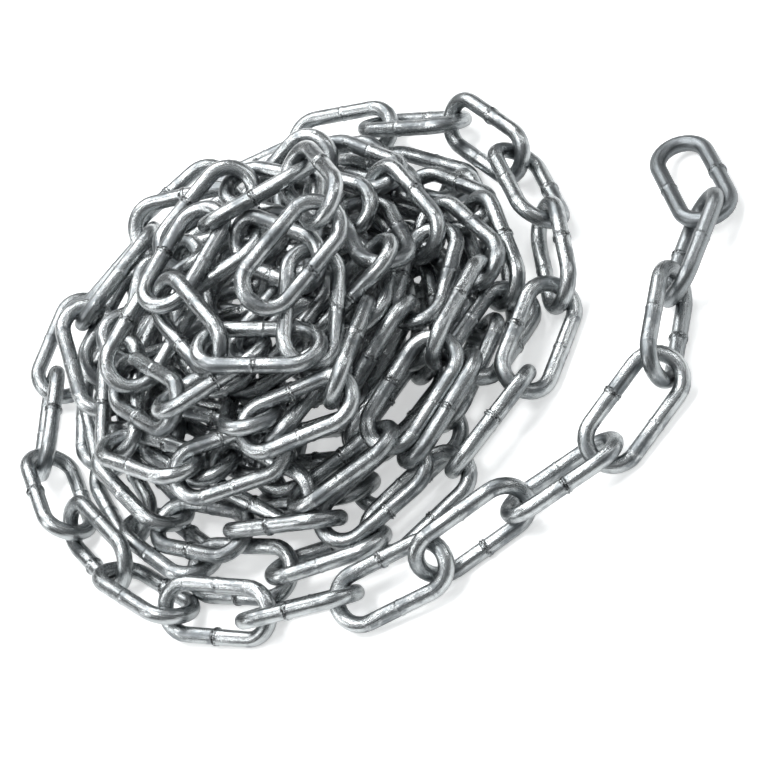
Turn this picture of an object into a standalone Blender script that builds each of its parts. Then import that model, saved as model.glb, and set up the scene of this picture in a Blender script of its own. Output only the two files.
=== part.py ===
"""Heap of welded steel chain.

One loose length of 6 mm long-link chain, about 5 m of it, dropped in a round
heap on a level floor with its free end led round the front.  Every link is
modelled.  The links of the free end are nodes of their own, and the links of
the heap are joined in short runs where they bear on one another.
"""
import math

import bpy
import numpy as np
from mathutils import Matrix

# Link, millimetres: 6 mm bar, 42 mm inner length, 26 mm outer width.
BAR_RADIUS = 3.0
SIDE_HALF = 14.0            # half the straight side's length
BOW_RADIUS = 10.0           # of the bows' centreline
PITCH = 38.5                # joint to joint of a chain that lies slack

# Bars with few sides: corner radius, so that a bar keeps nearly its section.
TAIL_BAR = 3.2
HEAP_BAR = 3.2
TAIL_BOW_STEPS = 6
HEAP_BOW_STEPS = 4
BOW_SWELL = 1.02            # corners of the bow lie a little outside its arc

# The chain: number of links, and how many of them are nodes of their own.
LINKS = 143
SINGLE_LINKS = 12
HEAP_RUNS = 48

# Free end, led round the front of the heap: for each link, from the end link
# on, its middle (mm), where it heads and how far it leans (deg).
FREE_END = [
    (134, -77, 6, -106, -6), (115, -108, 10, -146, 35), (88, -131, 13, -138, -76),
    (57, -153, 11, -163, -52), (20, -151, 8, 176, 28), (-18, -147, 12, 170, -68),
    (-54, -136, 8, 154, -34), (-86, -114, 11, 146, 50), (-113, -87, 9, 131, -36),
    (-130, -53, 10, 115, 45), (-134, -14, 10, 93, -45), (-132, 24, 10, 80, 45),
    (-120, 59, 10, 58, -45), (-95, 86, 10, 42, 45), (-60, 104, 10, 14, -45), (-23, 105, 10, -6, 42),
    (13, 96, 10, -20, -45), (46, 78, 8, -38, 24), (69, 49, 10, -58, -45), (81, 14, 10, -78, 42),
    (83, -23, 10, -98, -45), (73, -58, 10, -117, 45), (50, -86, 10, -139, -45), (17, -102, 10, -163, 45),
]

# The heap: loops laid clockwise from START, first coiled flat on the floor and
# then over one another, with their middle wandering round CENTRE.  Each row
# gives loops laid, radius, height, and how far the loop's middle lies east and
# north of CENTRE, mm.
CENTRE = (-25.0, -8.0)
START = 105.0
LOOPS = [
    (0.54, 93, 10, 0, 0), (0.7, 88, 10, 0, 0), (1.0, 87, 10, 0, 0), (1.2, 84, 10, 3, -1),
    (1.4, 81, 10, 5, -3), (1.6, 73, 10, 1, -1), (2.0, 63, 10, 0, 0), (2.3, 60, 10, 2, -1),
    (3.0, 40, 10, 0, 0), (3.4, 33, 10, 0, 0), (3.75, 29, 12, 0, 0), (3.9, 27, 34, 0, 0),
    (4.3, 50, 40, 6, 10), (4.8, 74, 52, 0, 0), (5.6, 86, 70, 4, -6), (6.4, 78, 92, 4, -10),
    (7.2, 64, 112, 14, 2), (8.0, 58, 132, -12, 18), (8.8, 52, 152, -26, -8), (9.6, 50, 172, 4, -26),
    (10.4, 46, 192, 22, 4), (11.2, 42, 212, -6, 16), (12.0, 40, 232, -22, -10), (12.8, 38, 252, 8, -18),
    (13.6, 36, 272, 16, 4), (14.4, 34, 290, -8, 12), (15.0, 32, 302, -10, -8),
]
WAVER = 1.5                 # how far a turn wanders in and out
LEAN = 45.0                 # a link leans to one side, the next to the other
LEAN_SPREAD = 14.0

# Easing: least distances of two centrelines, and what one step may move.
CLEAR = 6.7
JOINED = 3.6
FLOOR = 3.2
INERTIA = 200.0             # a link's turning inertia over its mass, mm2
SHARE = 0.4
MOST_MOVE = 1.2
MOST_TURN = 0.06
JOINT_REACH = 20.7
JOINT_SLACK = 4.0

STEEL = (0.56, 0.58, 0.60)


def clear_scene():
    """Removes the objects of the open scene."""
    for item in list(bpy.data.objects):
        bpy.data.objects.remove(item, do_unlink=True)


def link_corners(bow_steps, swell=1.0):
    """Corners of a link's centreline in its own plane, long axis first, mm."""
    corners = []
    for side in (1, -1):
        for step in range(bow_steps + 1):
            turn = math.radians(180.0 * step / bow_steps - 90.0)
            radius = BOW_RADIUS * swell
            corners.append((round(side * (SIDE_HALF + radius * math.cos(turn)), 6),
                            round(side * radius * math.sin(turn), 6)))
    return np.array(corners)


def dot(a, b):
    """Dot products along the last axis."""
    return a[..., 0] * b[..., 0] + a[..., 1] * b[..., 1] + a[..., 2] * b[..., 2]


def cross(a, b):
    """Cross products along the last axis."""
    return np.stack([a[..., 1] * b[..., 2] - a[..., 2] * b[..., 1],
                     a[..., 2] * b[..., 0] - a[..., 0] * b[..., 2],
                     a[..., 0] * b[..., 1] - a[..., 1] * b[..., 0]], axis=-1)


def unit(a):
    """Vectors at length one."""
    return a / np.sqrt(dot(a, a))[..., None]


def smooth(points, steps):
    """Catmull-Rom curve through the points."""
    points = np.array(points, dtype=float)
    ends = np.vstack([2 * points[0] - points[1], points, 2 * points[-1] - points[-2]])
    curve = []
    for a, b, c, d in zip(ends, ends[1:], ends[2:], ends[3:]):
        for step in range(steps):
            t = step / steps
            curve.append(0.5 * (2 * b + (c - a) * t + (2 * a - 5 * b + 4 * c - d) * t * t
                                + (3 * b - a - 3 * c + d) * t * t * t))
    return np.array(curve)


def heap_route():
    """Where the chain runs in the heap, loop over loop."""
    points = []
    loops = np.array(LOOPS, dtype=float)
    per_turn = 24
    for step in range(int(per_turn * loops[0, 0]), int(per_turn * loops[-1, 0])):
        laid = step / per_turn
        out, height, east, north = (np.interp(laid, loops[:, 0], loops[:, k]) for k in range(1, 5))
        out += WAVER * math.sin(2.3 * laid * 2 * math.pi)
        angle = math.radians(START - 360.0 * laid)
        points.append((CENTRE[0] + east + out * math.cos(angle),
                       CENTRE[1] + north + out * math.sin(angle), height))
    return np.round(smooth(points, 40), 6)


def walk(start, route, count):
    """Joints at one pitch from each other along the route, from a first joint on."""
    joints = [start]
    place = 0
    for _ in range(count):
        while place < len(route) - 1:
            step = route[place] - joints[-1]
            if math.sqrt(step[0] * step[0] + step[1] * step[1] + step[2] * step[2]) >= PITCH:
                break
            place += 1
        else:
            raise ValueError(f"the route ends after {len(joints) - 1} links")
        joints.append(route[place])
    return np.array(joints)


def lay_links():
    """Middles and axes (long, width, normal) of the links, laid along the route."""
    free_end = np.array(FREE_END, dtype=float)
    led = len(free_end)
    heading = np.radians(free_end[:, 3])
    long_led = np.round(np.stack([np.cos(heading), np.sin(heading), 0 * heading], axis=1), 9)
    middle_led = free_end[:, :3]
    joints = walk(middle_led[-1] + long_led[-1] * (PITCH / 2), heap_route(), LINKS - led)
    spread = np.random.default_rng(7).uniform(-LEAN_SPREAD, LEAN_SPREAD, LINKS)
    lean = np.where(np.arange(LINKS) % 2 == 0, -LEAN, LEAN) + spread
    lean[:led] = free_end[:, 4]
    middle = np.concatenate([middle_led, (joints[:-1] + joints[1:]) / 2])
    long_axis = np.concatenate([unit(long_led), unit(joints[1:] - joints[:-1])])
    up = np.zeros_like(long_axis)
    up[:, 2] = 1.0
    side = unit(cross(up, long_axis))
    top = cross(long_axis, side)
    turn = np.radians(lean)
    width = side * np.round(np.cos(turn), 9)[:, None] + top * np.round(np.sin(turn), 9)[:, None]
    width = unit(width)
    return middle, np.stack([long_axis, width, cross(long_axis, width)], axis=2)


def corner_points(middle, axes, corners):
    """Corners of all centrelines in the heap's frame."""
    return (middle[:, None, :] + corners[None, :, :1] * axes[:, None, :, 0]
            + corners[None, :, 1:] * axes[:, None, :, 1])


def near_pairs(points, middle, reach):
    """Pairs of bars, of different links, that lie within reach of each other."""
    one, two = np.triu_indices(len(middle), 1)
    apart = middle[one] - middle[two]
    keep = dot(apart, apart) < (2 * (SIDE_HALF + BOW_RADIUS * BOW_SWELL) + reach) ** 2
    one, two = one[keep], two[keep]
    after = np.roll(points, -1, axis=1)
    centre = (points + after) / 2
    half = np.sqrt(dot(after - points, after - points)) / 2
    apart = centre[one][:, :, None, :] - centre[two][:, None, :, :]
    limit = half[one][:, :, None] + half[two][:, None, :] + reach
    pair, bar_one, bar_two = np.nonzero(dot(apart, apart) < limit * limit)
    return one[pair], bar_one, two[pair], bar_two


def nearest_points(start_one, end_one, start_two, end_two):
    """Points at which two bars come nearest, for many pairs at once."""
    run_one, run_two, gap = end_one - start_one, end_two - start_two, start_one - start_two
    a, e, f = dot(run_one, run_one), dot(run_two, run_two), dot(run_two, gap)
    c, b = dot(run_one, gap), dot(run_one, run_two)
    spread = a * e - b * b
    skew = spread > 1e-9
    s = np.clip(np.where(skew, (b * f - c * e) / np.where(skew, spread, 1.0), 0.5), 0, 1)
    t = (b * s + f) / e
    inside = np.clip(t, 0, 1)
    s = np.where(t != inside, np.clip((b * inside - c) / a, 0, 1), s)
    return start_one + run_one * s[:, None], start_two + run_two * inside[:, None]


def gather(which, vectors):
    """Sums the vectors of each link."""
    return np.stack([np.bincount(which, weights=vectors[:, k], minlength=LINKS)
                     for k in range(3)], axis=1)


def least_of_each(which, distance):
    """Place of each link's smallest distance."""
    order = np.lexsort((distance, which))
    ranked = which[order]
    first = np.concatenate([[True], ranked[1:] != ranked[:-1]])
    return order[first]


def push_pairs(points, arms, weight, depth):
    """Moves and turns that bring pairs of links apart by depth along their normals."""
    one, two, reach_one, reach_two, normal = arms
    swing_one, swing_two = cross(reach_one, normal), cross(reach_two, normal)
    part_one, part_two = weight[one], weight[two]
    load = (part_one * (1 + dot(swing_one, swing_one) / INERTIA)
            + part_two * (1 + dot(swing_two, swing_two) / INERTIA))
    push = depth / load
    move = (gather(one, normal * (push * part_one)[:, None])
            - gather(two, normal * (push * part_two)[:, None]))
    turn = (gather(one, swing_one * (push * part_one / INERTIA)[:, None])
            - gather(two, swing_two * (push * part_two / INERTIA)[:, None]))
    return move, turn


def lift_from_floor(points, middle, resting):
    """Moves and turns that lift the corners that lie too low."""
    low = FLOOR - points[..., 2]
    link, corner = np.nonzero(low > 0)
    reach = points[link, corner] - middle[link]
    up = np.zeros_like(reach)
    up[:, 2] = 1.0
    swing = cross(reach, up)
    push = low[link, corner] / (1 + dot(swing, swing) / INERTIA) * np.where(resting[link], 0.3, 1.0)
    return gather(link, up * push[:, None]), gather(link, swing * (push / INERTIA)[:, None])


def ease(middle, axes, run, steps, sink, every):
    """Lets the links down and eases them apart, small steps at a time."""
    corners = link_corners(HEAP_BOW_STEPS, BOW_SWELL)
    after = np.roll(np.arange(len(corners)), -1)
    resting = np.arange(LINKS) < len(FREE_END)
    weight = np.where(resting, 0.05, 1.0)
    before, behind = np.arange(LINKS - 1), np.arange(1, LINKS)
    for step in range(steps):
        middle = middle - np.array([0.0, 0.0, sink]) * np.where(resting, 0.0, 1.0)[:, None]
        points = corner_points(middle, axes, corners)
        if step % every == 0:
            pairs = near_pairs(points, middle, CLEAR + 4.0)
        one, bar_one, two, bar_two = pairs
        at_one, at_two = nearest_points(points[one, bar_one], points[one, after[bar_one]],
                                        points[two, bar_two], points[two, after[bar_two]])
        apart = at_one - at_two
        distance = np.sqrt(dot(apart, apart)) + 1e-9
        linked = two == one + 1
        depth = np.where(linked & (run[one] == run[two]), JOINED, CLEAR) - distance
        acts = depth > 0
        bearing = np.nonzero(linked)[0]
        acts[bearing[least_of_each(one[bearing], distance[bearing])]] = True
        one, two = one[acts], two[acts]
        arms = (one, two, at_one[acts] - middle[one], at_two[acts] - middle[two],
                apart[acts] / distance[acts][:, None])
        move, turn = push_pairs(points, arms, weight, depth[acts])
        lift, tilt = lift_from_floor(points, middle, resting)
        tie_one = axes[:-1, :, 0] * JOINT_REACH
        tie_two = axes[1:, :, 0] * -JOINT_REACH
        stretch = middle[1:] + tie_two - middle[:-1] - tie_one
        length = np.sqrt(dot(stretch, stretch)) + 1e-9
        arms = (before, behind, tie_one, tie_two, stretch / length[:, None])
        draw, swing = push_pairs(points, arms, weight, np.maximum(length - JOINT_SLACK, 0) * 0.5 / SHARE)
        move = (move + lift + draw) * SHARE
        turn = (turn + tilt + swing) * SHARE
        move = move * np.minimum(1, MOST_MOVE / (np.sqrt(dot(move, move)) + 1e-12))[:, None]
        turn = turn * np.minimum(1, MOST_TURN / (np.sqrt(dot(turn, turn)) + 1e-12))[:, None]
        middle = middle + move
        long_axis = unit(axes[:, :, 0] + cross(turn, axes[:, :, 0]))
        width = axes[:, :, 1] + cross(turn, axes[:, :, 1])
        width = unit(width - long_axis * dot(long_axis, width)[:, None])
        axes = np.stack([long_axis, width, cross(long_axis, width)], axis=2)
    return middle, axes


def runs_of_links():
    """Number of the node that each link belongs to."""
    heap = LINKS - SINGLE_LINKS
    return np.array([link if link < SINGLE_LINKS
                     else SINGLE_LINKS + (link - SINGLE_LINKS) * HEAP_RUNS // heap
                     for link in range(LINKS)])


def settled_chain():
    """Middles and axes of all links as the chain lies."""
    run = runs_of_links()
    middle, axes = lay_links()
    middle, axes = ease(middle, axes, run, 100, 0.0, 8)
    middle, axes = ease(middle, axes, run, 3200, 0.062, 8)
    middle, axes = ease(middle, axes, run, 900, 0.0, 10)
    return middle, axes, run


def steel_material():
    """Bright zinc-plated steel."""
    material = bpy.data.materials.new("zinc_plated_steel")
    material.use_nodes = True
    shader = material.node_tree.nodes["Principled BSDF"]
    shader.inputs["Base Color"].default_value = (*STEEL, 1.0)
    shader.inputs["Metallic"].default_value = 1.0
    shader.inputs["Roughness"].default_value = 0.28
    return material


def link_curve(name, corners, bar_radius, sides_step, middle, axes):
    """One link: its bar follows the closed centreline, placed and turned as it lies."""
    curve = bpy.data.curves.new(name, "CURVE")
    curve.dimensions = "3D"
    curve.twist_mode = "Z_UP"
    curve.bevel_depth = bar_radius / 1000.0
    curve.bevel_resolution = sides_step
    curve.use_fill_caps = True
    bar = curve.splines.new("POLY")
    bar.points.add(len(corners) - 1)
    for point, (along, across) in zip(bar.points, corners):
        point.co = (along / 1000.0, across / 1000.0, 0.0, 1.0)
    bar.use_cyclic_u = True
    item = bpy.data.objects.new(name, curve)
    matrix = [[float(axes[row, column]) for column in range(3)] + [float(middle[row]) / 1000.0]
              for row in range(3)]
    item.matrix_world = Matrix(matrix + [[0.0, 0.0, 0.0, 1.0]])
    return item


def as_mesh(item, collection):
    """The curve object made a mesh object in the collection."""
    collection.objects.link(item)
    bpy.context.view_layer.update()
    graph = bpy.context.evaluated_depsgraph_get()
    mesh = bpy.data.meshes.new_from_object(item.evaluated_get(graph))
    solid = bpy.data.objects.new(item.name, mesh)
    solid.matrix_world = item.matrix_world.copy()
    name = item.name
    bpy.data.objects.remove(item, do_unlink=True)
    solid.name = name
    collection.objects.link(solid)
    return solid


def set_down(heap, helpers):
    """Hangs all links on an empty that brings the heap's box to the origin, on the floor."""
    bpy.context.view_layer.update()
    graph = bpy.context.evaluated_depsgraph_get()
    places = []
    for item in heap.objects:
        seen = item.evaluated_get(graph)
        places += [item.matrix_world @ vertex.co for vertex in seen.to_mesh().vertices]
        seen.to_mesh_clear()
    places = np.array(places)
    low, high = places.min(axis=0), places.max(axis=0)
    frame = bpy.data.objects.new("heap_frame", None)
    frame.location = (-(low[0] + high[0]) / 2, -(low[1] + high[1]) / 2, -low[2])
    helpers.objects.link(frame)
    for item in [*heap.objects, *helpers.objects]:
        if item is not frame:
            item.parent = frame


def main():
    """Builds the chain."""
    clear_scene()
    heap = bpy.data.collections.new("steel_chain_heap")
    helpers = bpy.data.collections.new("links_joined_to_runs")
    bpy.context.scene.collection.children.link(heap)
    bpy.context.scene.collection.children.link(helpers)
    steel = steel_material()
    middle, axes, run = settled_chain()
    fine = link_corners(TAIL_BOW_STEPS)
    plain = link_corners(HEAP_BOW_STEPS, BOW_SWELL)
    for number in range(int(run[-1]) + 1):
        links = [int(link) for link in np.nonzero(run == number)[0]]
        if number < SINGLE_LINKS:
            item = link_curve(f"link_{links[0] + 1:03d}", fine, TAIL_BAR, 2, middle[links[0]], axes[links[0]])
            item.data.materials.append(steel)
            heap.objects.link(item)
            continue
        solids = []
        for link in links:
            curve = link_curve(f"link_{link + 1:03d}", plain, HEAP_BAR, 1, middle[link], axes[link])
            curve.data.materials.append(steel)
            solids.append(as_mesh(curve, helpers if solids else heap))
        solids[0].name = f"links_{links[0] + 1:03d}_{links[-1] + 1:03d}"
        for solid in solids[1:]:
            solid.hide_render = True
            solid.display_type = "WIRE"
            weld = solids[0].modifiers.new("bearing", "BOOLEAN")
            weld.operation = "UNION"
            weld.solver = "EXACT"
            weld.object = solid
    set_down(heap, helpers)


main()
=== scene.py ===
"""Heap of steel chain: the finished look of one loose length of zinc-plated chain.

Every link is a loop of round bar with its butt weld.  The links lie where the
part has them: the same route and the same easing are worked out here again.
"""
import logging
import math
from dataclasses import dataclass, field
from enum import Enum

import bmesh
import bpy
import numpy as np
from mathutils import Matrix, Vector


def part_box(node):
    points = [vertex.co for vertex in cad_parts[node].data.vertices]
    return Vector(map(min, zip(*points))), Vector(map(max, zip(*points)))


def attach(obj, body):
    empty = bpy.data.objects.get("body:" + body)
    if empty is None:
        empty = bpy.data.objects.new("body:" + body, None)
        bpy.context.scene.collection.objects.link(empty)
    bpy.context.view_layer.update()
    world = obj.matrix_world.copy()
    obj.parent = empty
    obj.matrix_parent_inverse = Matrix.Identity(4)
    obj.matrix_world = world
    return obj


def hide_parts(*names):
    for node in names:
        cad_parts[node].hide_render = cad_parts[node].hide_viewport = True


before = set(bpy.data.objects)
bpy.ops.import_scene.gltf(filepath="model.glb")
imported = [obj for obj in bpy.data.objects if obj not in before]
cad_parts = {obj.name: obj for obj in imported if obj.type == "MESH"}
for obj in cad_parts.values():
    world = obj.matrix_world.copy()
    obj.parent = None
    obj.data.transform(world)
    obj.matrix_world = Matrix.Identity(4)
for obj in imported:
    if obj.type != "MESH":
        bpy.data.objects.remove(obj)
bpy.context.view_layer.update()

log = logging.getLogger("steel_chain")

Row = tuple[float, ...]
MM = 0.001
LEAST = 1e-9
BAR_RUN, WELD_FLASH, DULLED = "bar_run", "weld_flash", "dulled"


def to_linear(colour: str) -> tuple[float, float, float, float]:
    """Turns an sRGB hex colour into Blender's linear one.

    Args:
        colour: the colour as "#rrggbb".

    Returns:
        Red, green, blue and an alpha of one.
    """
    parts = [int(colour[place:place + 2], 16) / 255.0 for place in (1, 3, 5)]
    lit = [part / 12.92 if part <= 0.04045 else ((part + 0.055) / 1.055) ** 2.4 for part in parts]
    return lit[0], lit[1], lit[2], 1.0


def add_node(tree: bpy.types.NodeTree, kind: str, sockets: dict | None = None,
             **settings) -> bpy.types.Node:
    """Adds a node, sets it, and fills its sockets.

    Args:
        tree: the tree that the node goes into.
        kind: the node's type name.
        sockets: value, or output socket to link from, for each input's name or number.
        settings: properties of the node.

    Returns:
        The new node.
    """
    node = tree.nodes.new(kind)
    for name, value in settings.items():
        setattr(node, name, value)
    for name, value in (sockets or {}).items():
        if isinstance(value, bpy.types.NodeSocket):
            tree.links.new(value, node.inputs[name])
        else:
            node.inputs[name].default_value = value
    return node


def dot(a: np.ndarray, b: np.ndarray) -> np.ndarray:
    """Dot products along the last axis."""
    return a[..., 0] * b[..., 0] + a[..., 1] * b[..., 1] + a[..., 2] * b[..., 2]


def cross(a: np.ndarray, b: np.ndarray) -> np.ndarray:
    """Cross products along the last axis."""
    return np.stack([a[..., 1] * b[..., 2] - a[..., 2] * b[..., 1],
                     a[..., 2] * b[..., 0] - a[..., 0] * b[..., 2],
                     a[..., 0] * b[..., 1] - a[..., 1] * b[..., 0]], axis=-1)


def unit(a: np.ndarray) -> np.ndarray:
    """Vectors at length one."""
    return a / np.sqrt(dot(a, a))[..., None]


class BarMark(Enum):
    """What the middle of a link's straight side shows."""

    WELD = 1
    SEAM = -1


@dataclass(frozen=True)
class Mark:
    """The upset at the middle of a straight side.

    Attributes:
        stations: distance from the middle and swell of the bar there, mm and ratio.
        roughness: how far the flash stands up and sinks round the bar, mm.
    """

    stations: tuple[tuple[float, float], ...]
    roughness: float


MARKS = {
    BarMark.WELD: Mark(((1.5, 1.0), (1.15, 1.02), (0.85, 1.13), (0.3, 1.15), (0.05, 1.04),
                        (-0.2, 1.05), (-0.45, 1.14), (-0.8, 1.11), (-1.1, 1.02), (-1.5, 1.0)),
                       0.22),
    BarMark.SEAM: Mark(((0.9, 1.0), (0.6, 1.035), (0.2, 1.07), (-0.2, 1.06), (-0.6, 1.02),
                        (-0.9, 1.0)), 0.10),
}


@dataclass(frozen=True)
class Link:
    """One link of long-link chain, bent from plated round bar and butt welded, mm.

    Attributes:
        bar_radius: the bar's, as thick as it looks in the photograph, over the part's 3 mm.
        side_half: half of a straight side's length.
        bow_radius: radius of a bow's centreline.
        bar_sides: corners of the bar's section.
        bow_steps: straight pieces in each bow.
        bow_margin: from a bow to the section that supports it.
        mark_margin: from a mark to the section that supports it.
        flash_waves: waves that make up the weld's unevenness.
        merge_reach: how close corners are merged.
    """

    bar_radius: float = 3.25
    side_half: float = 14.0
    bow_radius: float = 10.0
    bar_sides: int = 20
    bow_steps: int = 14
    bow_margin: float = 0.7
    mark_margin: float = 0.5
    flash_waves: int = 5
    merge_reach: float = 0.01

    def length(self) -> float:
        """Length of the bar's centreline, mm."""
        return 4 * self.side_half + 2 * math.pi * self.bow_radius

    def corners(self, steps: int, swell: float = 1.0) -> np.ndarray:
        """Corners of the centreline in the link's own plane.

        Args:
            steps: straight pieces in each bow.
            swell: how far outside its arc a bow's corners lie, as a ratio.

        Returns:
            One row for each corner: along and across the link, mm.
        """
        corners = []
        for side in (1, -1):
            for step in range(steps + 1):
                turn = math.radians(180.0 * step / steps - 90.0)
                radius = self.bow_radius * swell
                corners.append((round(side * (self.side_half + radius * math.cos(turn)), 6),
                                round(side * radius * math.sin(turn), 6)))
        return np.array(corners)

    def straighten(self, place: Vector) -> tuple[float, float, float]:
        """Says where a point of the bar lies, with the bar laid out straight.

        Args:
            place: the point in the link's own frame, mm.

        Returns:
            Distance along the bar from the weld, and place in its section, mm.
        """
        half, bow = self.side_half, self.bow_radius
        if abs(place.x) <= half:
            out = abs(place.y) - bow
            run = -place.x if place.y > 0 else 3 * half + math.pi * bow + place.x
        else:
            end = math.copysign(half, place.x)
            out = math.hypot(place.x - end, place.y) - bow
            turn = math.atan2(place.y, place.x - end)
            if place.x < 0:
                run = half + bow * ((turn % (2 * math.pi)) - math.pi / 2)
            else:
                run = 3 * half + bow * (math.pi * 1.5 + turn)
        return run % self.length(), out, place.z

    def side(self, mesh: bmesh.types.BMesh, ring: list, mark: BarMark,
             chance: np.random.Generator) -> list:
        """Draws the bar out from a bow's end along one straight side, over its mark.

        Args:
            mesh: the link so far.
            ring: edges of the bow's last section.
            mark: what the middle of this side shows.
            chance: source of the flash's unevenness.

        Returns:
            The edges of the section at the side's far end.
        """
        across = mark.value * self.bow_radius
        # sections close to the bows and to the mark keep the light straight along the bar
        by_bow = self.side_half - self.bow_margin
        by_mark = MARKS[mark].stations[0][0] + self.mark_margin
        stations = [(self.side_half, 1.0), (by_bow, 1.0), (by_mark, 1.0), *MARKS[mark].stations,
                    (-by_mark, 1.0), (-by_bow, 1.0), (-self.side_half, 1.0)]
        heights, phases = chance.uniform(-1.0, 1.0, (3, self.flash_waves))[:2]
        for (before, _), (after, swell) in zip(stations, stations[1:]):
            drawn = bmesh.ops.extrude_edge_only(mesh, edges=ring)["geom"]
            ring = [item for item in drawn if isinstance(item, bmesh.types.BMEdge)]
            section = [item for item in drawn if isinstance(item, bmesh.types.BMVert)]
            bmesh.ops.translate(mesh, verts=section, vec=(mark.value * (after - before), 0, 0))
            for vert in section:
                turn = math.atan2(vert.co.z, vert.co.y - across)
                bump = sum(heights[k] * math.cos((k + 1) * turn + 3 * phases[k])
                           for k in range(self.flash_waves)) / 2
                # the flash is full where the bar swells by a tenth
                lift = MARKS[mark].roughness * bump * (swell - 1) * 10
                out = self.bar_radius * swell + lift - math.hypot(vert.co.z, vert.co.y - across)
                bmesh.ops.translate(mesh, verts=[vert],
                                    vec=(0, out * math.cos(turn), out * math.sin(turn)))
        return ring

    def bend(self, mesh: bmesh.types.BMesh, ring: list, end: float) -> list:
        """Bends the bar through one bow.

        Args:
            mesh: the link so far.
            ring: edges of the section that the bow starts from.
            end: where the bow's centre lies along the link, mm.

        Returns:
            The edges of the bow's last section.
        """
        bent = bmesh.ops.spin(mesh, geom=ring, cent=(end, 0, 0), axis=(0, 0, 1), dvec=(0, 0, 0),
                              angle=math.pi, steps=self.bow_steps, use_merge=False,
                              use_normal_flip=False, use_duplicate=False)
        return [item for item in bent["geom_last"] if isinstance(item, bmesh.types.BMEdge)]

    def solid(self, chance: np.random.Generator) -> bmesh.types.BMesh:
        """Models the link about its middle, in its own frame.

        Args:
            chance: source of the weld's unevenness.

        Returns:
            The link's mesh, mm.
        """
        mesh = bmesh.new()
        upright = Matrix.Rotation(math.pi / 2, 4, "Y")
        start = Matrix.Translation((self.side_half, -self.bow_radius, 0)) @ upright
        bmesh.ops.create_circle(mesh, segments=self.bar_sides, radius=self.bar_radius, matrix=start)
        ring = self.bend(mesh, list(mesh.edges), self.side_half)
        ring = self.side(mesh, ring, BarMark.WELD, chance)
        ring = self.bend(mesh, ring, -self.side_half)
        self.side(mesh, ring, BarMark.SEAM, chance)
        bmesh.ops.remove_doubles(mesh, verts=mesh.verts, dist=self.merge_reach)
        bmesh.ops.recalc_face_normals(mesh, faces=mesh.faces)
        for face in mesh.faces:
            face.smooth = True
        return mesh


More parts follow.
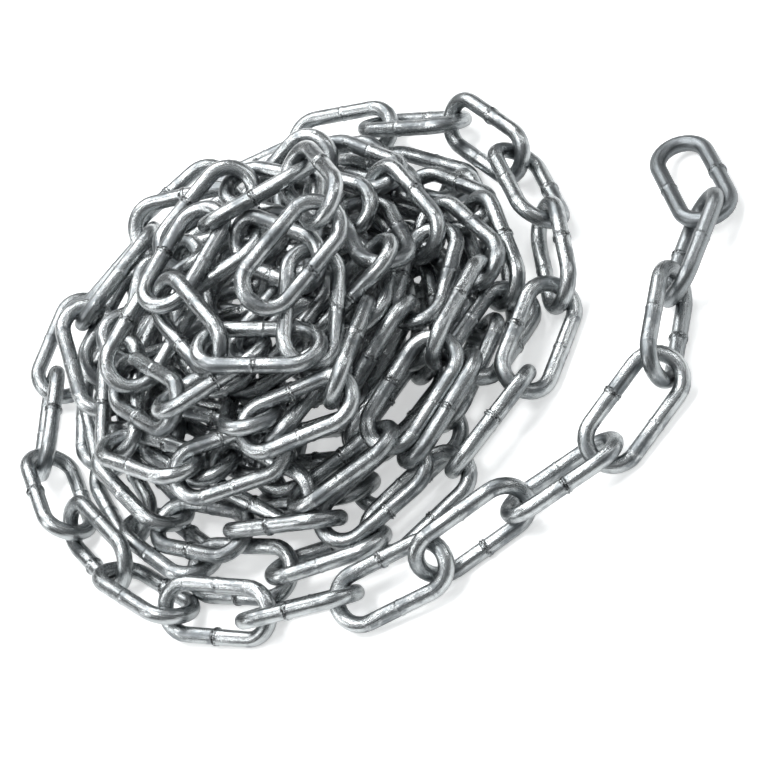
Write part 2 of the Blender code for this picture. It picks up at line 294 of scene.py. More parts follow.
@dataclass(frozen=True)
class Lay:
    """How the chain was laid down, mm and deg.

    Attributes:
        links: number of links.
        pitch: from one joint to the next along the route.
        free_end: for each link, its middle, where it heads and how far it leans.
        centre: where the heap's middle lies.
        start: bearing at which the loops start.
        loops: loops laid, radius, height, and how far the loop's middle lies from the centre.
        waver: how far a loop wavers in and out.
        waver_pace: how often it does, in each loop.
        places_per_loop: places of the route worked out for each loop.
        places_between: places of the curve between those.
        lean: how far a link of the heap leans, to the left and right by turns.
        lean_spread: how far that varies.
        lean_seed: seed of that variation.
    """

    links: int = 143
    pitch: float = 38.5
    free_end: tuple[Row, ...] = (
        (134, -77, 6, -106, -6), (115, -108, 10, -146, 35), (88, -131, 13, -138, -76),
        (57, -153, 11, -163, -52), (20, -151, 8, 176, 28), (-18, -147, 12, 170, -68),
        (-54, -136, 8, 154, -34), (-86, -114, 11, 146, 50), (-113, -87, 9, 131, -36),
        (-130, -53, 10, 115, 45), (-134, -14, 10, 93, -45), (-132, 24, 10, 80, 45),
        (-120, 59, 10, 58, -45), (-95, 86, 10, 42, 45), (-60, 104, 10, 14, -45),
        (-23, 105, 10, -6, 42), (13, 96, 10, -20, -45), (46, 78, 8, -38, 24),
        (69, 49, 10, -58, -45), (81, 14, 10, -78, 42), (83, -23, 10, -98, -45),
        (73, -58, 10, -117, 45), (50, -86, 10, -139, -45), (17, -102, 10, -163, 45))
    centre: tuple[float, float] = (-25.0, -8.0)
    start: float = 105.0
    loops: tuple[Row, ...] = (
        (0.54, 93, 10, 0, 0), (0.7, 88, 10, 0, 0), (1.0, 87, 10, 0, 0), (1.2, 84, 10, 3, -1),
        (1.4, 81, 10, 5, -3), (1.6, 73, 10, 1, -1), (2.0, 63, 10, 0, 0), (2.3, 60, 10, 2, -1),
        (3.0, 40, 10, 0, 0), (3.4, 33, 10, 0, 0), (3.75, 29, 12, 0, 0), (3.9, 27, 34, 0, 0),
        (4.3, 50, 40, 6, 10), (4.8, 74, 52, 0, 0), (5.6, 86, 70, 4, -6), (6.4, 78, 92, 4, -10),
        (7.2, 64, 112, 14, 2), (8.0, 58, 132, -12, 18), (8.8, 52, 152, -26, -8),
        (9.6, 50, 172, 4, -26), (10.4, 46, 192, 22, 4), (11.2, 42, 212, -6, 16),
        (12.0, 40, 232, -22, -10), (12.8, 38, 252, 8, -18), (13.6, 36, 272, 16, 4),
        (14.4, 34, 290, -8, 12), (15.0, 32, 302, -10, -8))
    waver: float = 1.5
    waver_pace: float = 2.3
    places_per_loop: int = 24
    places_between: int = 40
    lean: float = 45.0
    lean_spread: float = 14.0
    lean_seed: int = 7

    def smooth(self, points: list, steps: int) -> np.ndarray:
        """Runs a Catmull-Rom curve through the points.

        Args:
            points: the route's points.
            steps: places between one point and the next.

        Returns:
            The curve's places, one row each.
        """
        rows = np.array(points, dtype=float)
        ends = np.vstack([2 * rows[0] - rows[1], rows, 2 * rows[-1] - rows[-2]])
        curve = []
        for a, b, c, d in zip(ends, ends[1:], ends[2:], ends[3:]):
            for step in range(steps):
                t = step / steps
                curve.append(0.5 * (2 * b + (c - a) * t + (2 * a - 5 * b + 4 * c - d) * t * t
                                    + (3 * b - a - 3 * c + d) * t * t * t))
        return np.array(curve)

    def heap_route(self) -> np.ndarray:
        """Where the chain runs in the heap, loop over loop."""
        points = []
        loops = np.array(self.loops, dtype=float)
        first, last = (int(self.places_per_loop * loops[row, 0]) for row in (0, -1))
        for step in range(first, last):
            laid = step / self.places_per_loop
            out, height, east, north = (np.interp(laid, loops[:, 0], loops[:, k])
                                        for k in range(1, 5))
            out += self.waver * math.sin(self.waver_pace * laid * 2 * math.pi)
            angle = math.radians(self.start - 360.0 * laid)
            points.append((self.centre[0] + east + out * math.cos(angle),
                           self.centre[1] + north + out * math.sin(angle), height))
        return np.round(self.smooth(points, self.places_between), 6)

    def walk(self, start: np.ndarray, route: np.ndarray, count: int) -> np.ndarray:
        """Steps along the route, one pitch at a time.

        Args:
            start: the first joint.
            route: places of the route, close together.
            count: number of links.

        Returns:
            The joints, one more than there are links.
        """
        joints = [start]
        place = 0
        for _ in range(count):
            while place < len(route) - 1:
                step = route[place] - joints[-1]
                if math.sqrt(dot(step, step)) >= self.pitch:
                    break
                place += 1
            else:
                raise ValueError(f"the route ends after {len(joints) - 1} links")
            joints.append(route[place])
        return np.array(joints)

    def lay(self) -> tuple[np.ndarray, np.ndarray]:
        """Lays the links along the route.

        Returns:
            Middles of the links, and their long, width and normal axes as columns.
        """
        free_end = np.array(self.free_end, dtype=float)
        led = len(free_end)
        heading = np.radians(free_end[:, 3])
        long_led = np.round(np.stack([np.cos(heading), np.sin(heading), 0 * heading], axis=1), 9)
        middle_led = free_end[:, :3]
        joints = self.walk(middle_led[-1] + long_led[-1] * (self.pitch / 2), self.heap_route(),
                           self.links - led)
        chance = np.random.default_rng(self.lean_seed)
        spread = chance.uniform(-self.lean_spread, self.lean_spread, self.links)
        lean = np.where(np.arange(self.links) % 2 == 0, -self.lean, self.lean) + spread
        lean[:led] = free_end[:, 4]
        middle = np.concatenate([middle_led, (joints[:-1] + joints[1:]) / 2])
        long_axis = np.concatenate([unit(long_led), unit(joints[1:] - joints[:-1])])
        up = np.zeros_like(long_axis)
        up[:, 2] = 1.0
        side = unit(cross(up, long_axis))
        top = cross(long_axis, side)
        turn = np.radians(lean)
        width = unit(side * np.round(np.cos(turn), 9)[:, None]
                     + top * np.round(np.sin(turn), 9)[:, None])
        return middle, np.stack([long_axis, width, cross(long_axis, width)], axis=2)


@dataclass(frozen=True)
class Touch:
    """Least distances of the links' centrelines while they ease.

    Attributes:
        clear: between links of different nodes, mm.
        joined: between links of one node, mm.
        bow_steps: straight pieces in each bow.
        swell: how far outside its arc a bow's corners lie.
        floor: least height over the floor, mm.
    """

    clear: float
    joined: float
    bow_steps: int
    swell: float
    floor: float


@dataclass(frozen=True)
class Spell:
    """One spell of easing.

    Attributes:
        touch: how close the links may lie.
        steps: number of steps.
        sink: how far a link of the heap sinks in a step, mm.
        every: steps from one search for close bars to the next.
    """

    touch: Touch
    steps: int
    sink: float
    every: int


ROUGH = Touch(clear=6.7, joined=3.6, bow_steps=4, swell=1.02, floor=3.2)
FINE = Touch(clear=6.45, joined=5.4, bow_steps=8, swell=1.0, floor=3.35)


@dataclass
class Settling:
    """Lets the laid links down and eases them apart, as the part's own source does.

    Attributes:
        lay: how the chain was laid down.
        link: one link.
        single_links: links of the free end that are a node each.
        heap_runs: nodes that the other links are shared out to.
        inertia: how hard a link is to turn, mm2.
        share: how much of each push is made in one step.
        most_move: longest move in one step, mm.
        most_turn: largest turn in one step, rad.
        joint_reach: from a link's middle to where it bears on the next, mm.
        joint_slack: how far those places may part before they are drawn together, mm.
        joint_pull: how much of the rest is made up in one step.
        resting_weight: how readily a link of the free end moves.
        resting_lift: how much of a lift from the floor such a link makes.
        search_margin: how far beyond touching close bars are searched for, mm.
        spells: the easing that the part has too.
        closing: the easing of the round bars after it.
        run: the node that each link belongs to, from nought.
    """

    lay: Lay
    link: Link
    single_links: int = 12
    heap_runs: int = 48
    inertia: float = 200.0
    share: float = 0.4
    most_move: float = 1.2
    most_turn: float = 0.06
    joint_reach: float = 20.7
    joint_slack: float = 4.0
    joint_pull: float = 0.5
    resting_weight: float = 0.05
    resting_lift: float = 0.3
    search_margin: float = 4.0
    spells: tuple[Spell, ...] = (Spell(ROUGH, 100, 0.0, 8), Spell(ROUGH, 3200, 0.062, 8),
                                 Spell(ROUGH, 900, 0.0, 10))
    closing: Spell = Spell(FINE, 160, 0.0, 10)
    run: np.ndarray = field(init=False)

    def __post_init__(self) -> None:
        """Numbers the node that each link belongs to."""
        single, heap = self.single_links, self.lay.links - self.single_links
        self.run = np.array([link if link < single
                             else single + (link - single) * self.heap_runs // heap
                             for link in range(self.lay.links)])

    def corner_points(self, middle: np.ndarray, axes: np.ndarray,
                      corners: np.ndarray) -> np.ndarray:
        """Corners of all centrelines in the heap's frame."""
        return (middle[:, None, :] + corners[None, :, :1] * axes[:, None, :, 0]
                + corners[None, :, 1:] * axes[:, None, :, 1])

    def near_pairs(self, points: np.ndarray, middle: np.ndarray,
                   reach: float) -> tuple[np.ndarray, ...]:
        """Finds the bars of different links that lie close together.

        Args:
            points: corners of all centrelines.
            middle: middles of the links.
            reach: how close counts, mm.

        Returns:
            First link, its bar, second link and its bar, for each pair.
        """
        one, two = np.triu_indices(len(middle), 1)
        apart = middle[one] - middle[two]
        longest = self.link.side_half + self.link.bow_radius * ROUGH.swell
        keep = dot(apart, apart) < (2 * longest + reach) ** 2
        one, two = one[keep], two[keep]
        after = np.roll(points, -1, axis=1)
        centre = (points + after) / 2
        half = np.sqrt(dot(after - points, after - points)) / 2
        apart = centre[one][:, :, None, :] - centre[two][:, None, :, :]
        limit = half[one][:, :, None] + half[two][:, None, :] + reach
        pair, bar_one, bar_two = np.nonzero(dot(apart, apart) < limit * limit)
        return one[pair], bar_one, two[pair], bar_two

    def nearest_points(self, start_one: np.ndarray, end_one: np.ndarray,
                       start_two: np.ndarray, end_two: np.ndarray) -> tuple[np.ndarray, np.ndarray]:
        """Finds where two bars come nearest, for many pairs at once.

        Args:
            start_one: first ends of the first bars.
            end_one: their other ends.
            start_two: first ends of the second bars.
            end_two: their other ends.

        Returns:
            The nearest places on the first and on the second bars.
        """
        run_one, run_two, gap = end_one - start_one, end_two - start_two, start_one - start_two
        a, e, f = dot(run_one, run_one), dot(run_two, run_two), dot(run_two, gap)
        c, b = dot(run_one, gap), dot(run_one, run_two)
        spread = a * e - b * b
        skew = spread > LEAST
        s = np.clip(np.where(skew, (b * f - c * e) / np.where(skew, spread, 1.0), 0.5), 0, 1)
        t = (b * s + f) / e
        inside = np.clip(t, 0, 1)
        s = np.where(t != inside, np.clip((b * inside - c) / a, 0, 1), s)
        return start_one + run_one * s[:, None], start_two + run_two * inside[:, None]

    def gather(self, which: np.ndarray, vectors: np.ndarray) -> np.ndarray:
        """Sums the vectors of each link."""
        return np.stack([np.bincount(which, weights=vectors[:, k], minlength=self.lay.links)
                         for k in range(3)], axis=1)

    def least_of_each(self, which: np.ndarray, distance: np.ndarray) -> np.ndarray:
        """Place of each link's smallest distance."""
        order = np.lexsort((distance, which))
        ranked = which[order]
        first = np.concatenate([[True], ranked[1:] != ranked[:-1]])
        return order[first]

    def push_pairs(self, arms: tuple[np.ndarray, ...], weight: np.ndarray,
                   depth: np.ndarray) -> tuple[np.ndarray, np.ndarray]:
        """Works out what brings pairs of links apart along their normals.

        Args:
            arms: the two links, the touching places from their middles, and the normal.
            weight: how readily each link moves.
            depth: how far each pair has to part, mm.

        Returns:
            Moves and turns of all links.
        """
        one, two, reach_one, reach_two, normal = arms
        swing_one, swing_two = cross(reach_one, normal), cross(reach_two, normal)
        part_one, part_two = weight[one], weight[two]
        load = (part_one * (1 + dot(swing_one, swing_one) / self.inertia)
                + part_two * (1 + dot(swing_two, swing_two) / self.inertia))
        push = depth / load
        move = (self.gather(one, normal * (push * part_one)[:, None])
                - self.gather(two, normal * (push * part_two)[:, None]))
        turn = (self.gather(one, swing_one * (push * part_one / self.inertia)[:, None])
                - self.gather(two, swing_two * (push * part_two / self.inertia)[:, None]))
        return move, turn

    def lift_from_floor(self, points: np.ndarray, middle: np.ndarray, resting: np.ndarray,
                        floor: float) -> tuple[np.ndarray, np.ndarray]:
        """Works out what lifts the corners that lie too low.

        Args:
            points: corners of all centrelines.
            middle: middles of the links.
            resting: the links of the free end, which hardly move.
            floor: least height of a centreline, mm.

        Returns:
            Moves and turns of all links.
        """
        low = floor - points[..., 2]
        link, corner = np.nonzero(low > 0)
        reach = points[link, corner] - middle[link]
        up = np.zeros_like(reach)
        up[:, 2] = 1.0
        swing = cross(reach, up)
        lift = np.where(resting[link], self.resting_lift, 1.0)
        push = low[link, corner] / (1 + dot(swing, swing) / self.inertia) * lift
        return (self.gather(link, up * push[:, None]),
                self.gather(link, swing * (push / self.inertia)[:, None]))

    def draw_joints(self, middle: np.ndarray, axes: np.ndarray,
                    weight: np.ndarray) -> tuple[np.ndarray, np.ndarray]:
        """Works out what draws the ends of joined links together.

        Args:
            middle: middles of the links.
            axes: their axes.
            weight: how readily each link moves.

        Returns:
            Moves and turns of all links.
        """
        before, behind = np.arange(self.lay.links - 1), np.arange(1, self.lay.links)
        tie_one = axes[:-1, :, 0] * self.joint_reach
        tie_two = axes[1:, :, 0] * -self.joint_reach
        stretch = middle[1:] + tie_two - middle[:-1] - tie_one
        length = np.sqrt(dot(stretch, stretch)) + LEAST
        arms = (before, behind, tie_one, tie_two, stretch / length[:, None])
        pull = np.maximum(length - self.joint_slack, 0) * self.joint_pull / self.share
        return self.push_pairs(arms, weight, pull)

    def held(self, change: np.ndarray, most: float) -> np.ndarray:
        """Shortens the changes that are larger than the most allowed."""
        size = np.sqrt(dot(change, change)) + 1e-12
        return change * np.minimum(1, most / size)[:, None]

    def turned(self, axes: np.ndarray, turn: np.ndarray) -> np.ndarray:
        """Turns the links' axes by small turns, and sets them square again."""
        long_axis = unit(axes[:, :, 0] + cross(turn, axes[:, :, 0]))
        width = axes[:, :, 1] + cross(turn, axes[:, :, 1])
        width = unit(width - long_axis * dot(long_axis, width)[:, None])
        return np.stack([long_axis, width, cross(long_axis, width)], axis=2)

    def ease(self, middle: np.ndarray, axes: np.ndarray,
             spell: Spell) -> tuple[np.ndarray, np.ndarray]:
        """Lets the links down and eases them apart, small steps at a time.

        Args:
            middle: middles of the links.
            axes: their axes.
            spell: how long and how far they are eased.

        Returns:
            The new middles and axes.
        """
        touch = spell.touch
        corners = self.link.corners(touch.bow_steps, touch.swell)
        after = np.roll(np.arange(len(corners)), -1)
        resting = np.arange(self.lay.links) < len(self.lay.free_end)
        weight = np.where(resting, self.resting_weight, 1.0)
        fall = np.array([0.0, 0.0, spell.sink]) * np.where(resting, 0.0, 1.0)[:, None]
        for step in range(spell.steps):
            middle = middle - fall
            points = self.corner_points(middle, axes, corners)
            if step % spell.every == 0:
                pairs = self.near_pairs(points, middle, touch.clear + self.search_margin)
            one, bar_one, two, bar_two = pairs
            at_one, at_two = self.nearest_points(
                points[one, bar_one], points[one, after[bar_one]],
                points[two, bar_two], points[two, after[bar_two]])
            apart = at_one - at_two
            distance = np.sqrt(dot(apart, apart)) + LEAST
            linked = two == one + 1
            same_node = linked & (self.run[one] == self.run[two])
            depth = np.where(same_node, touch.joined, touch.clear) - distance
            acts = depth > 0
            bearing = np.nonzero(linked)[0]
            acts[bearing[self.least_of_each(one[bearing], distance[bearing])]] = True
            one, two = one[acts], two[acts]
            arms = (one, two, at_one[acts] - middle[one], at_two[acts] - middle[two],
                    apart[acts] / distance[acts][:, None])
            move, turn = self.push_pairs(arms, weight, depth[acts])
            lift, tilt = self.lift_from_floor(points, middle, resting, touch.floor)
            draw, swing = self.draw_joints(middle, axes, weight)
            middle = middle + self.held((move + lift + draw) * self.share, self.most_move)
            axes = self.turned(axes, self.held((turn + tilt + swing) * self.share,
                                               self.most_turn))
        return middle, axes

    def settle(self) -> tuple[np.ndarray, np.ndarray, np.ndarray]:
        """Settles the chain as the part has it, then draws the links of each node apart.

        Returns:
            The part's own middles, and the middles and axes of the round links, mm.
        """
        middle, axes = self.lay.lay()
        for spell in self.spells:
            middle, axes = self.ease(middle, axes, spell)
        part_middle = middle
        middle, axes = self.ease(middle, axes, self.closing)
        return part_middle, middle, axes


@dataclass(frozen=True)
class ZincPlate:
    """Bright zinc plate over drawn bar: fine draw lines along it, duller patches, dark weld flash.

    Attributes:
        bright: plate as it shows where it is clean.
        dull: plate in its greyer patches.
        grime: what sits in the weld's flash.
    """

    name: str = "zinc_plated_steel"
    bright: str = "#ccd0d1"
    dull: str = "#84898c"
    grime: str = "#2b2c2c"

    def material(self) -> bpy.types.Material:
        """Builds the plate's material, on the straightened bar's own coordinates in mm.

        Returns:
            The material.
        """
        material = bpy.data.materials.new(self.name)
        material.use_nodes = True
        tree = material.node_tree
        shader = tree.nodes["Principled BSDF"]
        run, weld, worn = (
            add_node(tree, "ShaderNodeAttribute", attribute_name=name).outputs[socket]
            for name, socket in ((BAR_RUN, "Vector"), (WELD_FLASH, "Fac"), (DULLED, "Fac")))
        # draw lines: 20 mm long and over half a millimetre across
        lines = self.noise(tree, self.scaled(tree, run, (0.05, 1.5, 1.5)), 1.0, 3.0, 0.6)
        # patches of duller plate, some 6 mm across
        patch = self.noise(tree, self.scaled(tree, run, (0.09, 0.17, 0.17)), 1.0, 4.0, 0.62)
        # grain of the plate, a third of a millimetre, and the weld's burnt spots, over one
        grain = self.noise(tree, run, 2.4, 3.0, 0.7)
        spots = self.noise(tree, run, 0.8, 2.0, 0.6)
        dull = self.combine(tree, "MAXIMUM", self.ramp(tree, patch, 0.40, 0.66), worn)
        plate = self.mixed(tree, dull, to_linear(self.bright), to_linear(self.dull))
        streak = self.span(tree, lines, (0.3, 0.7), (0.68, 1.07))
        mottle = self.span(tree, grain, (0.3, 0.6), (0.72, 1.05))
        shade = self.combine(tree, "MULTIPLY", streak, mottle)
        drawn = add_node(tree, "ShaderNodeVectorMath", {0: plate, "Scale": shade},
                         operation="SCALE").outputs[0]
        burnt = self.combine(tree, "MULTIPLY", weld, self.ramp(tree, spots, 0.46, 0.58))
        colour = self.mixed(tree, burnt, drawn, to_linear(self.grime))
        tree.links.new(colour, shader.inputs["Base Color"])
        polish = self.span(tree, lines, (0.25, 0.75), (0.07, 0.20))
        coarse = self.combine(tree, "MULTIPLY_ADD", grain, 0.09, polish)
        matt = self.combine(tree, "MULTIPLY_ADD", dull, 0.18, coarse)
        tree.links.new(matt, shader.inputs["Roughness"])
        shader.inputs["Metallic"].default_value = 1.0
        ridges = add_node(tree, "ShaderNodeBump", {"Height": lines, "Strength": 0.6,
                                                   "Distance": 0.00016}).outputs[0]
        specks = add_node(tree, "ShaderNodeBump", {"Height": grain, "Strength": 0.65,
                                                   "Distance": 0.00014, "Normal": ridges})
        tree.links.new(specks.outputs[0], shader.inputs["Normal"])
        return material

    def scaled(self, tree: bpy.types.NodeTree, place: bpy.types.NodeSocket,
               scale: Row) -> bpy.types.NodeSocket:
        """Stretches the coordinates that a pattern is read at."""
        return add_node(tree, "ShaderNodeMapping", {"Vector": place, "Scale": scale}).outputs[0]

    def noise(self, tree: bpy.types.NodeTree, place: bpy.types.NodeSocket, scale: float,
              detail: float, roughness: float) -> bpy.types.NodeSocket:
        """Adds a noise pattern."""
        return add_node(tree, "ShaderNodeTexNoise",
                        {"Vector": place, "Scale": scale, "Detail": detail,
                         "Roughness": roughness}).outputs["Fac"]

    def span(self, tree: bpy.types.NodeTree, value: bpy.types.NodeSocket, source: Row,
             target: Row) -> bpy.types.NodeSocket:
        """Maps one range of a value onto another."""
        return add_node(tree, "ShaderNodeMapRange",
                        {"Value": value, "From Min": source[0], "From Max": source[1],
                         "To Min": target[0], "To Max": target[1]}).outputs[0]

    def combine(self, tree: bpy.types.NodeTree, operation: str,
                *values: object) -> bpy.types.NodeSocket:
        """Combines numbers, or the sockets that give them."""
        return add_node(tree, "ShaderNodeMath", dict(enumerate(values)),
                        operation=operation).outputs[0]

    def mixed(self, tree: bpy.types.NodeTree, share: bpy.types.NodeSocket,
              one: object, two: object) -> bpy.types.NodeSocket:
        """Mixes two colours.

        Args:
            tree: the material's tree.
            share: how much of the second colour shows.
            one: first colour, or the socket that gives it.
            two: second colour, or the socket that gives it.

        Returns:
            The mixed colour.
        """
        # inputs 6 and 7 are the node's two colours, and output 2 is what they give
        return add_node(tree, "ShaderNodeMix", {0: share, 6: one, 7: two},
                        data_type="RGBA").outputs[2]

    def ramp(self, tree: bpy.types.NodeTree, value: bpy.types.NodeSocket, low: float,
             high: float) -> bpy.types.NodeSocket:
        """Stretches a pattern so that it runs from none at low to all at high."""
        return add_node(tree, "ShaderNodeMapRange",
                        {"Value": value, "From Min": low, "From Max": high},
                        interpolation_type="SMOOTHSTEP").outputs[0]


@dataclass(frozen=True)
class StudioFloor:
    """Plain pale studio floor, lit from beneath so that shadows on it stay faint.

    Attributes:
        colour: the sheet's colour.
        glow: strength of the light that comes through it onto the chain.
        seen_glow: the same as the camera sees it.
        roughness: how matt the sheet is.
        specular: how much it mirrors.
    """

    name: str = "studio_floor"
    colour: str = "#f1f2f2"
    glow: float = 0.32
    seen_glow: float = 0.58
    roughness: float = 0.9
    specular: float = 0.2

    def material(self) -> bpy.types.Material:
        """Builds the floor's matt, faintly glowing material."""
        material = bpy.data.materials.new(self.name)
        material.use_nodes = True
        tree = material.node_tree
        shader = tree.nodes["Principled BSDF"]
        shader.inputs["Base Color"].default_value = to_linear(self.colour)
        shader.inputs["Roughness"].default_value = self.roughness
        shader.inputs["Specular IOR Level"].default_value = self.specular
        shader.inputs["Emission Color"].default_value = to_linear(self.colour)
        ray = add_node(tree, "ShaderNodeLightPath").outputs["Is Camera Ray"]
        glow = add_node(tree, "ShaderNodeMapRange", {"Value": ray, "To Min": self.glow,
                                                     "To Max": self.seen_glow}).outputs[0]
        tree.links.new(glow, shader.inputs["Emission Strength"])
        return material


@dataclass
class Chain:
    """The whole chain, one piece for each node of the part.

    Attributes:
        link: one link.
        settling: how the links come to lie.
        finish: what they are plated with.
        shapes: links that are modelled, with welds that differ.
        shape_step: from one link to the next, how far along those shapes.
        shape_seed: seed of the first shape.
        look_seed: seed of the first link's look.
        pattern_step: from one link to the next along the plate's pattern, mm.
        weld_reach: how far from the weld its flash is burnt, mm.
        dullest: how dull a link of the heap is at most.
        end_dulled: how dull the first links of the free end are.
        duller_links: links of the outer turn that are duller than the heap's.
        duller_by: how much duller they are.
        shift: from the layout's origin to the part's, m.
    """

    link: Link
    settling: Settling
    finish: ZincPlate
    shapes: int = 7
    shape_step: int = 3
    shape_seed: int = 20
    look_seed: int = 300
    pattern_step: float = 160.0
    weld_reach: float = 1.5
    dullest: float = 0.35
    end_dulled: tuple[float, ...] = (0.95, 0.75, 0.55)
    duller_links: range = range(9, 15)
    duller_by: float = 0.3
    shift: Vector = field(default_factory=Vector)

    def node_name(self, links: list[int]) -> str:
        """Name of the part's node that holds the links."""
        if links[0] < self.settling.single_links:
            return f"link_{links[0] + 1:03d}"
        return f"links_{links[0] + 1:03d}_{links[-1] + 1:03d}"

    def find_shift(self, middle: np.ndarray) -> Vector:
        """Finds where the part's origin lies from the layout's own, by the single links.

        Args:
            middle: the part's own middles, mm.

        Returns:
            What is added to a place of the layout, m.
        """
        shifts = []
        for link in range(self.settling.single_links):
            low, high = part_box(self.node_name([link]))
            shifts.append((Vector(low) + Vector(high)) / 2 - Vector(middle[link]) * MM)
        mean = sum(shifts, Vector()) / len(shifts)
        log.info("shift %s, spread %.3f mm", [round(v / MM, 3) for v in mean],
                 max((shift - mean).length for shift in shifts) / MM)
        return mean

    def templates(self) -> list[bpy.types.Mesh]:
        """Models a few links whose welds differ."""
        meshes = []
        for number in range(self.shapes):
            solid = self.link.solid(np.random.default_rng(self.shape_seed + number))
            mesh = bpy.data.meshes.new(f"link_shape_{number}")
            solid.to_mesh(mesh)
            solid.free()
            meshes.append(mesh)
        return meshes

    def place_link(self, solid: bmesh.types.BMesh, template: bpy.types.Mesh, number: int,
                   middle: np.ndarray, axes: np.ndarray) -> None:
        """Adds one link to a piece, and writes its bar's own coordinates.

        Args:
            solid: the piece so far.
            template: the link in its own frame, mm.
            number: the link's number, from nought.
            middle: the link's middle, mm.
            axes: its axes as columns.
        """
        run = solid.verts.layers.float_vector[BAR_RUN]
        weld = solid.verts.layers.float[WELD_FLASH]
        worn = solid.verts.layers.float[DULLED]
        chance = np.random.default_rng(self.look_seed + number)
        dulled = self.dullest * chance.uniform() ** 2
        if number < len(self.end_dulled):
            dulled = self.end_dulled[number]
        elif number in self.duller_links:
            dulled += self.duller_by
        flip = -1.0 if chance.uniform() < 0.5 else 1.0
        known = len(solid.verts)
        solid.from_mesh(template)
        solid.verts.ensure_lookup_table()
        verts = solid.verts[known:]
        for vert in verts:
            along, out, over = self.link.straighten(vert.co)
            away = min(along, self.link.length() - along)
            vert[run] = (along + self.pattern_step * number, out, over)
            vert[weld] = max(0.0, 1.0 - (away / self.weld_reach) ** 2)
            vert[worn] = dulled
        rows = [[axes[row, 0] * flip, axes[row, 1] * flip, axes[row, 2], middle[row]]
                for row in range(3)]
        frame_of_link = Matrix(rows + [[0, 0, 0, 1]])
        bmesh.ops.transform(solid, matrix=frame_of_link, verts=verts)
        bmesh.ops.scale(solid, vec=(MM, MM, MM), verts=verts)
        bmesh.ops.translate(solid, vec=self.shift, verts=verts)

    def build(self) -> None:
        """Builds all pieces of the chain and dresses them."""
        part_middle, middle, axes = self.settling.settle()
        moved = np.sqrt(dot(middle - part_middle, middle - part_middle))
        log.info("closing up moved links by %.2f mm on average, %.2f mm at most",
                 moved.mean(), moved.max())
        self.shift = self.find_shift(part_middle)
        templates = self.templates()
        plate = self.finish.material()
        for number in range(int(self.settling.run[-1]) + 1):
            links = [int(link) for link in np.nonzero(self.settling.run == number)[0]]
            solid = bmesh.new()
            solid.verts.layers.float_vector.new(BAR_RUN)
            solid.verts.layers.float.new(WELD_FLASH)
            solid.verts.layers.float.new(DULLED)
            for link in links:
                template = templates[(link * self.shape_step) % self.shapes]
                self.place_link(solid, template, link, middle[link], axes[link])
            node = self.node_name(links)
            mesh = bpy.data.meshes.new(f"round_{node}")
            solid.to_mesh(mesh)
            solid.free()
            mesh.materials.append(plate)
            piece = bpy.data.objects.new(f"round_{node}", mesh)
            bpy.context.scene.collection.objects.link(piece)
            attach(piece, "root")
            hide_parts(node)
            log.info("%s: %d faces", piece.name, len(mesh.polygons))
        for mesh in templates:
            bpy.data.meshes.remove(mesh)


@dataclass
class Softbox:
    """A large soft lamp.

    Attributes:
        name: what it is called.
        place: where it stands, m.
        aim: what it points at, m.
        size: its width and height, m.
        power: its power, W.
    """

    name: str
    place: tuple[float, float, float]
    aim: tuple[float, float, float]
    size: tuple[float, float]
    power: float

    def build(self) -> None:
        """Adds the lamp to the scene."""
        lamp = bpy.data.lights.new(self.name, "AREA")
        lamp.shape = "RECTANGLE"
        lamp.size, lamp.size_y = self.size
        lamp.energy = self.power
        item = bpy.data.objects.new(self.name, lamp)
        item.location = self.place
        beam = Vector(self.aim) - Vector(self.place)
        item.rotation_euler = beam.to_track_quat("-Z", "Y").to_euler()
        bpy.context.scene.collection.objects.link(item)


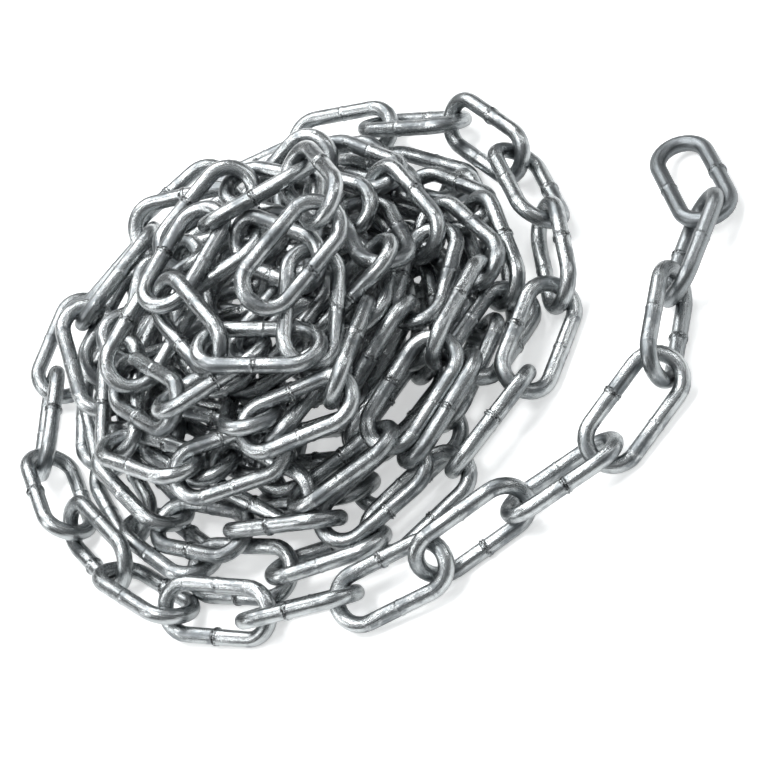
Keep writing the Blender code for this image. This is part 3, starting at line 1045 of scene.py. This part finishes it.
@dataclass
class Studio:
    """Floor, light and camera, with the camera at the photograph's viewing angle.

    Attributes:
        elevation: how far the camera looks down, deg.
        roll: how far it is turned about its own line of sight, deg.
        distance: from the camera to the layout's origin, m.
        focal_pixels: the lens's focal length, in pixels of the photograph.
        aim_pixel: where the layout's origin shows.
        frame_pixels: the photograph's width.
        sensor: the sensor's width, mm.
        sight: how far the camera sees, m.
        floor: what the chain lies on.
        floor_reach: half of the floor's width, m.
        room: the room's colour.
        room_light: its strength at the horizon and overhead.
        lamps: the lamps.
    """

    elevation: float = 42.5
    roll: float = 41.0
    distance: float = 1.5
    focal_pixels: float = 3705.0
    aim_pixel: tuple[float, float] = (352.0, 318.0)
    frame_pixels: float = 760.0
    sensor: float = 36.0
    sight: float = 50.0
    floor: StudioFloor = StudioFloor()
    floor_reach: float = 6.0
    room: str = "#f4f6f8"
    room_light: tuple[float, float] = (0.03, 0.55)
    lamps: tuple[Softbox, ...] = (
        Softbox("back_softbox", (0.0, 1.3, 1.6), (0, 0, 0), (1.7, 0.8), 25.0),
        Softbox("top_softbox", (-0.3, -0.1, 1.9), (0, 0, 0), (0.6, 0.6), 16.0),
        Softbox("left_softbox", (-1.6, 0.2, 1.0), (0, 0, 0), (0.5, 1.0), 8.5),
        Softbox("right_strip", (1.5, -0.5, 1.1), (0, 0, 0), (0.2, 1.2), 5.0),
        Softbox("small_lamp", (0.7, 0.7, 1.5), (0, 0, 0), (0.2, 0.2), 4.0),
    )

    def build_floor(self) -> None:
        """Lays the floor out far beyond the frame."""
        ground = bmesh.new()
        bmesh.ops.create_grid(ground, x_segments=4, y_segments=4, size=self.floor_reach)
        mesh = bpy.data.meshes.new("floor")
        ground.to_mesh(mesh)
        ground.free()
        mesh.materials.append(self.floor.material())
        item = bpy.data.objects.new("floor", mesh)
        bpy.context.scene.collection.objects.link(item)

    def build_world(self) -> None:
        """Fills the room with dim light that is brighter overhead."""
        world = bpy.data.worlds.new("studio_room")
        bpy.context.scene.world = world
        world.use_nodes = True
        tree = world.node_tree
        back = tree.nodes["Background"]
        ray = add_node(tree, "ShaderNodeLightPath").outputs["Is Camera Ray"]
        up = add_node(tree, "ShaderNodeSeparateXYZ",
                      {0: add_node(tree, "ShaderNodeTexCoord").outputs["Generated"]}).outputs["Z"]
        low, high = self.room_light
        lit = add_node(tree, "ShaderNodeMapRange",
                       {"Value": up, "To Min": low, "To Max": high}).outputs[0]
        seen = add_node(tree, "ShaderNodeMath", {0: ray, 1: lit}, operation="MAXIMUM").outputs[0]
        back.inputs["Color"].default_value = to_linear(self.room)
        tree.links.new(seen, back.inputs["Strength"])

    def build_camera(self, origin: Vector) -> None:
        """Sets the camera up as the photograph was taken.

        Args:
            origin: the layout's own origin, which the photograph's scale was read at, m.
        """
        rise, roll = math.radians(self.elevation), math.radians(self.roll)
        back = Vector((0, -math.cos(rise), math.sin(rise)))
        level, up = Vector((1, 0, 0)), Vector((0, math.sin(rise), math.cos(rise)))
        right = level * math.cos(roll) - up * math.sin(roll)
        over = level * math.sin(roll) + up * math.cos(roll)
        half = self.frame_pixels / 2
        forward = (-back * self.focal_pixels + right * (half - self.aim_pixel[0])
                   + over * (self.aim_pixel[1] - half)).normalized()
        right = (right - forward * right.dot(forward)).normalized()
        over = right.cross(forward)
        lens = bpy.data.cameras.new("photograph_camera")
        lens.sensor_width = self.sensor
        lens.lens = self.focal_pixels / self.frame_pixels * self.sensor
        lens.clip_end = self.sight
        camera = bpy.data.objects.new("photograph_camera", lens)
        turned = Matrix((right, over, -forward)).transposed().to_4x4()
        camera.matrix_world = Matrix.Translation(origin + back * self.distance) @ turned
        bpy.context.scene.collection.objects.link(camera)
        bpy.context.scene.camera = camera

    def build(self, origin: Vector) -> None:
        """Builds the studio round the heap."""
        self.build_floor()
        self.build_world()
        for lamp in self.lamps:
            lamp.build()
        self.build_camera(origin)
        view = bpy.context.scene.view_settings
        view.view_transform = "Standard"
        view.look = "None"


def main() -> None:
    """Builds the chain, then the studio that it is seen in."""
    logging.basicConfig(level=logging.INFO, format="%(message)s")
    link = Link()
    chain = Chain(link, Settling(Lay(), link), ZincPlate())
    chain.build()
    Studio().build(chain.shift)


if __name__ == "__main__":
    main()
